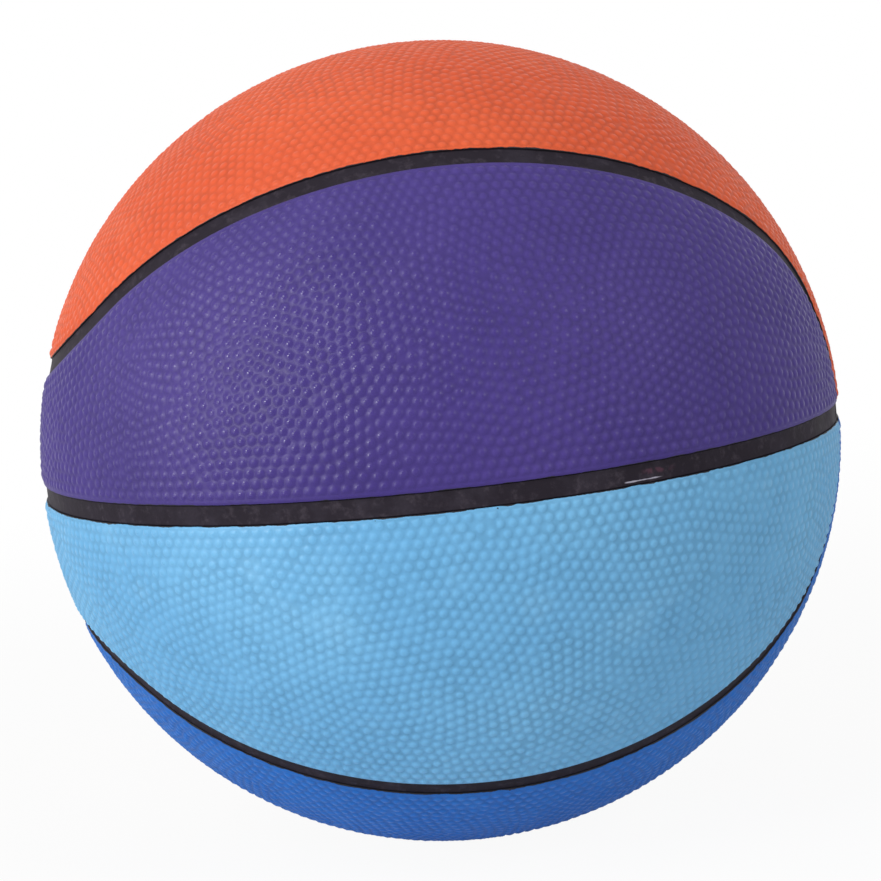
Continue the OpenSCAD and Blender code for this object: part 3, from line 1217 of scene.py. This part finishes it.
# %% [markdown]
# ## The world
# In a white studio, light comes softly from all sides. The world gives that light. Seen by the
# camera or in a reflection it is full white, as the paper is. For lighting the ball it is only
# a third as strong, because otherwise the lamps' shading would drown in it.

# %% The world
AMBIENT = 0.32
world = bpy.data.worlds.new("studio")
bpy.context.scene.world = world
w = Tree(world, "OutputWorld")
ambient = w.add("Background", values={"Color": WHITE, "Strength": AMBIENT})
white = w.add("Background", values={"Color": WHITE, "Strength": 1.0})
camera_rays, shiny_rays = seeing_rays(w)
w.surface(w.add("MixShader", values={0: camera_rays + shiny_rays, 1: ambient, 2: white}))
print("Ambient light:", AMBIENT)

# %% [markdown]
# ## Lamps
# The ball's own shading tells how it was lit: brightest at the left, with sharp glints there. A
# large soft lamp at the left, a little above the ball, gives the brightness, and a small one
# beside it draws the glints on the pebbles. Two more stand higher, at the left and at the
# right, and a weak one hangs above. A picture of a studio wrapped round the scene could light
# it too, but lamps can be moved one by one until each bright patch lies where it should.


# %% Lamps
def lamp(name, place, size, power):
    """A rectangular lamp at a place in metres, turned to the ball, with its power in watts."""
    data = bpy.data.lights.new(name, "AREA")
    data.shape = "RECTANGLE"
    data.size, data.size_y = size
    data.energy = power
    obj = bpy.data.objects.new(name, data)
    bpy.context.scene.collection.objects.link(obj)
    obj.location = place
    obj.rotation_euler = Vector(place).to_track_quat("Z", "Y").to_euler()
    return obj


lamps = [
    lamp("key", place=(-1.12, -0.61, 0.25), size=(0.7, 0.9), power=4.3),
    lamp("glint", place=(-1.06, -0.8, 0.47), size=(0.16, 0.16), power=3.1),
    lamp("upper", place=(-0.72, -0.85, 1.0), size=(0.45, 0.45), power=4.4),
    lamp("right", place=(0.83, -1.1, 0.7), size=(0.5, 0.5), power=4.2),
    lamp("top", place=(-0.1, -0.3, 1.4), size=(1.2, 0.9), power=1.2),
]
print("Lamps:", len(lamps))

# %% [markdown]
# ## Camera
# The photograph looks at the ball from a little to the left of its front and a little above,
# and the ball fills the picture. Its channels lean six degrees. The ball could be tilted, but
# the part keeps its own upright frame, so the camera leans instead: it is first aimed at the
# centre and then rolled about its own line of sight.

# %% Camera
FROM_LEFT = math.radians(4.5)
FROM_ABOVE = math.radians(7.296)
ROLL = math.radians(-6.088)
DISTANCE = 0.644
SENSOR_MM = 36.0
LENS_MM = 85.3

level = math.cos(FROM_ABOVE)
sight = Vector((-math.sin(FROM_LEFT) * level, -math.cos(FROM_LEFT) * level, math.sin(FROM_ABOVE)))
camera_data = bpy.data.cameras.new("camera")
camera_data.sensor_width = SENSOR_MM
camera_data.lens = LENS_MM
camera = bpy.data.objects.new("camera", camera_data)
bpy.context.scene.collection.objects.link(camera)
camera.location = sight * DISTANCE
camera.rotation_euler = (sight.to_track_quat("Z", "Y") @ Quaternion((0, 0, 1), ROLL)).to_euler()
bpy.context.scene.camera = camera
bpy.context.scene.view_settings.view_transform = "Standard"
print("Camera %.3f m from the ball's centre" % camera.location.length)
